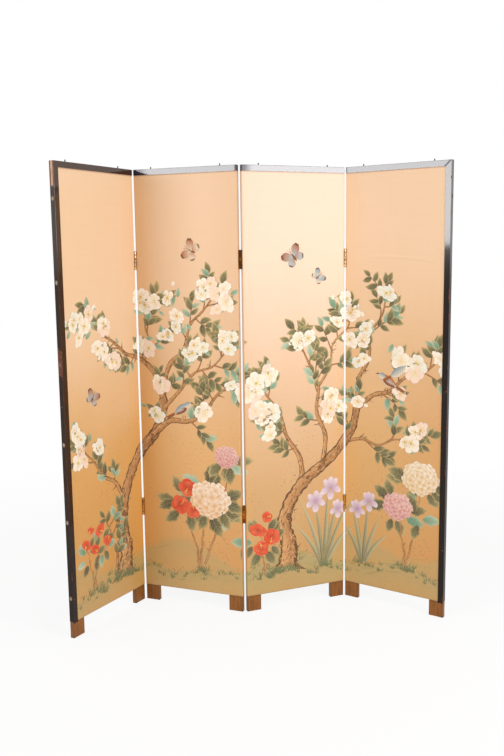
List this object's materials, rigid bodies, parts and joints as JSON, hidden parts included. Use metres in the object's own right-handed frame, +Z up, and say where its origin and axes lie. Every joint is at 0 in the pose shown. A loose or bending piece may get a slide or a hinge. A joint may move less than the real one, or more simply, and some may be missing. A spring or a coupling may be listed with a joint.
{
  "type": "folding screen",
  "caption": "Standing folding screen of hinged upright panels with silk faces, black lacquered edge strips, short wooden feet and knuckled brass butt hinges.",
  "frame": {"origin": "on the floor, in the middle of the footprint of the screen as it stands in its zigzag", "axes": "+Z up, the silk faces look towards -Y, +X to the right as seen from the front"},
  "size_m": [1.5068, 0.4166, 1.839],
  "materials": {
    "core_wood": "planed softwood",
    "ply_board": "thin plywood",
    "back_lacquer": "gloss black lacquer on plywood",
    "painted_silk": "gold silk, hand painted",
    "black_lacquer": "gloss black lacquer, worn at the edges",
    "foot_wood": "brown stained wood, dark bevels",
    "steel_pegs": "dark oxidised steel",
    "aged_brass": "aged brass"
  },
  "bodies": {
    "panel_1": {"hinge_1_2_lower_leaf_left": "aged_brass", "hinge_1_2_lower_pin": "aged_brass", "hinge_1_2_upper_leaf_left": "aged_brass", "hinge_1_2_upper_pin": "aged_brass", "panel_1_back_board": "back_lacquer", "panel_1_cap_strip": "black_lacquer", "panel_1_foot_left": "foot_wood", "panel_1_foot_right": "foot_wood", "panel_1_front_board": "ply_board", "panel_1_rails": "core_wood", "panel_1_side_strip_left": "black_lacquer", "panel_1_silk": "painted_silk", "panel_1_stile_left": "core_wood", "panel_1_stile_right": "core_wood", "panel_1_top_pegs": "steel_pegs"},
    "panel_2": {"hinge_1_2_lower_leaf_right": "aged_brass", "hinge_1_2_upper_leaf_right": "aged_brass", "hinge_2_3_lower_leaf_left": "aged_brass", "hinge_2_3_lower_pin": "aged_brass", "hinge_2_3_upper_leaf_left": "aged_brass", "hinge_2_3_upper_pin": "aged_brass", "panel_2_back_board": "back_lacquer", "panel_2_cap_strip": "black_lacquer", "panel_2_foot_left": "foot_wood", "panel_2_foot_right": "foot_wood", "panel_2_front_board": "ply_board", "panel_2_rails": "core_wood", "panel_2_silk": "painted_silk", "panel_2_stile_left": "core_wood", "panel_2_stile_right": "core_wood", "panel_2_top_pegs": "steel_pegs"},
    "panel_3": {"hinge_2_3_lower_leaf_right": "aged_brass", "hinge_2_3_upper_leaf_right": "aged_brass", "hinge_3_4_lower_leaf_left": "aged_brass", "hinge_3_4_lower_pin": "aged_brass", "hinge_3_4_upper_leaf_left": "aged_brass", "hinge_3_4_upper_pin": "aged_brass", "panel_3_back_board": "back_lacquer", "panel_3_cap_strip": "black_lacquer", "panel_3_foot_left": "foot_wood", "panel_3_foot_right": "foot_wood", "panel_3_front_board": "ply_board", "panel_3_rails": "core_wood", "panel_3_silk": "painted_silk", "panel_3_stile_left": "core_wood", "panel_3_stile_right": "core_wood", "panel_3_top_pegs": "steel_pegs"},
    "panel_4": {"hinge_3_4_lower_leaf_right": "aged_brass", "hinge_3_4_upper_leaf_right": "aged_brass", "panel_4_back_board": "back_lacquer", "panel_4_cap_strip": "black_lacquer", "panel_4_foot_left": "foot_wood", "panel_4_foot_right": "foot_wood", "panel_4_front_board": "ply_board", "panel_4_rails": "core_wood", "panel_4_side_strip_right": "black_lacquer", "panel_4_silk": "painted_silk", "panel_4_stile_left": "core_wood", "panel_4_stile_right": "core_wood", "panel_4_top_pegs": "steel_pegs"}
  },
  "joints": [
    {"name": "joint_1_2", "type": "hinge", "parent": "panel_2", "child": "panel_1", "pos_m": [-0.50144, 0.17878, 0.9], "axis": [0, 0, 1], "range_deg": [-79.5, 100.5]},
    {"name": "joint_2_3", "type": "hinge", "parent": "panel_2", "child": "panel_3", "pos_m": [-0.06663, 0.04491, 0.9], "axis": [0, 0, 1], "range_deg": [-42, 138]},
    {"name": "joint_3_4", "type": "hinge", "parent": "panel_3", "child": "panel_4", "pos_m": [0.36528, 0.18786, 0.9], "axis": [0, 0, 1], "range_deg": [-124.5, 55.5]}
  ]
}
